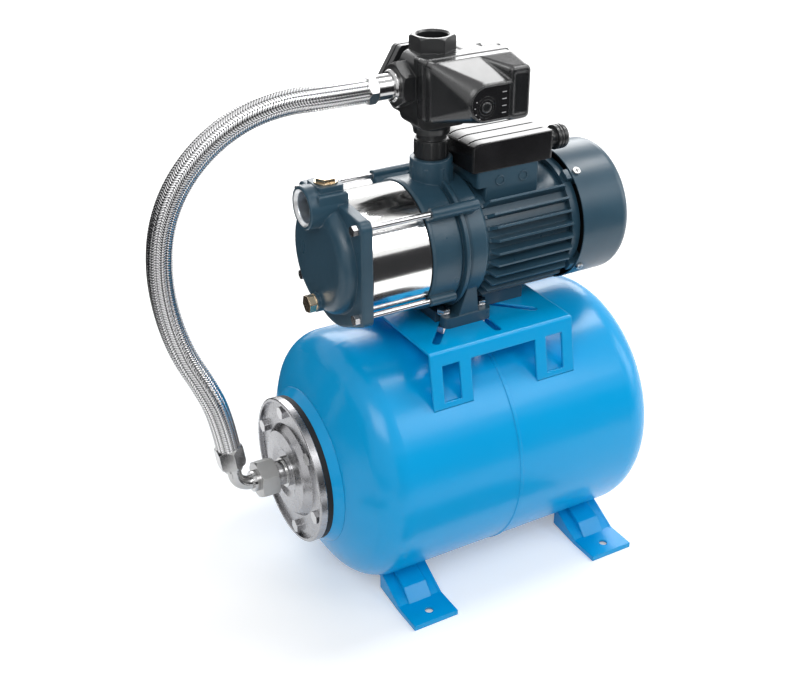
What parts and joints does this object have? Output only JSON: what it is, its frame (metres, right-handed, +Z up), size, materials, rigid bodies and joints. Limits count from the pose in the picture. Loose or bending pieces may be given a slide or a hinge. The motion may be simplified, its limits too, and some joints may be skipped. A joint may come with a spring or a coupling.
{
  "type": "booster pump set",
  "caption": "Multistage electric pump on a lying membrane tank, with a pressure controller on its outlet and a braided hose back to the tank.",
  "frame": {"origin": "centre of the four foot holes, on the floor", "axes": "+X along the shaft to the motor, -Y the side of the control panel, +Z up"},
  "size_m": [0.5661, 0.294, 0.595],
  "materials": {
    "tank_blue": "glossy powder coat",
    "steel": "bright zinc",
    "polished_steel": "polished stainless",
    "plated_steel": "nickel plated",
    "black_rubber": "matt",
    "cast_blue": "dark blue semi-gloss paint",
    "motor_blue": "dark blue semi-gloss paint",
    "black_plastic": "satin",
    "gloss_black": "semi-gloss",
    "moulded_plastic": "matt",
    "brass": "machined",
    "shaft_steel": "ground",
    "lamination": "raw",
    "copper_wire": "enamelled",
    "board_green": "lacquered",
    "seal_black": "carbon",
    "capacitor_white": "glossy",
    "cap_black": "semi-gloss"
  },
  "bodies": {
    "frame": {"tank_shell": "tank_blue", "tank_neck_ring": "tank_blue", "tank_membrane": "black_rubber", "tank_flange": "steel", "flange_bolts": "steel", "tank_foot_front": "tank_blue", "tank_foot_rear": "tank_blue", "pump_platform": "tank_blue", "air_valve_body": "brass", "air_valve_cap": "cap_black", "flange_nipple": "plated_steel", "union_nut": "plated_steel", "union_elbow": "plated_steel", "hose_lower_nut": "plated_steel", "braided_hose": "steel", "hose_upper_nut": "plated_steel", "port_bush": "plated_steel", "controller_body": "black_plastic", "diaphragm_cap": "black_plastic", "diaphragm": "black_rubber", "cap_screws": "steel", "electronics_cover": "gloss_black", "control_panel": "black_plastic", "circuit_board": "board_green", "valve_spring": "steel", "controller_glands": "black_plastic", "outlet_nipple": "gloss_black", "suction_casing": "cast_blue", "priming_plug": "brass", "drain_plug": "brass", "pump_sleeve": "polished_steel", "sleeve_seals": "black_rubber", "tie_bolts": "steel", "diffuser_1": "moulded_plastic", "diffuser_2": "moulded_plastic", "diffuser_3": "moulded_plastic", "seal_seat": "seal_black", "pump_bracket": "cast_blue", "foot_bolts": "steel", "motor_frame": "motor_blue", "stator": "lamination", "stator_windings": "copper_wire", "bearings": "shaft_steel", "end_shield": "motor_blue", "fan_cover": "motor_blue", "fan_cover_screws": "steel", "terminal_box_lid": "gloss_black", "capacitor": "capacitor_white", "terminal_block": "moulded_plastic", "cable_gland": "black_plastic"},
    "rotor": {"motor_shaft": "shaft_steel", "rotor_core": "lamination", "impeller_1": "moulded_plastic", "impeller_2": "moulded_plastic", "impeller_3": "moulded_plastic", "impeller_nut": "steel", "seal_rotor": "seal_black", "cooling_fan": "black_plastic"},
    "button": {"reset_button": "gloss_black"},
    "valve": {"flow_valve": "moulded_plastic"}
  },
  "joints": [
    {"name": "rotor_spin", "type": "hinge", "parent": "frame", "child": "rotor", "pos_m": [0, 0, 0.38], "axis": [1, 0, 0], "continuous": true},
    {"name": "reset_press", "type": "slide", "parent": "frame", "child": "button", "axis": [0, 1, 0], "range_m": [0, 0.0012], "stiffness_N_per_m": 600, "springref_m": -0.0005},
    {"name": "valve_lift", "type": "slide", "parent": "frame", "child": "valve", "axis": [0, 0, 1], "range_m": [0, 0.008], "stiffness_N_per_m": 40, "springref_m": -0.004, "deforming": ["valve_spring"]}
  ]
}
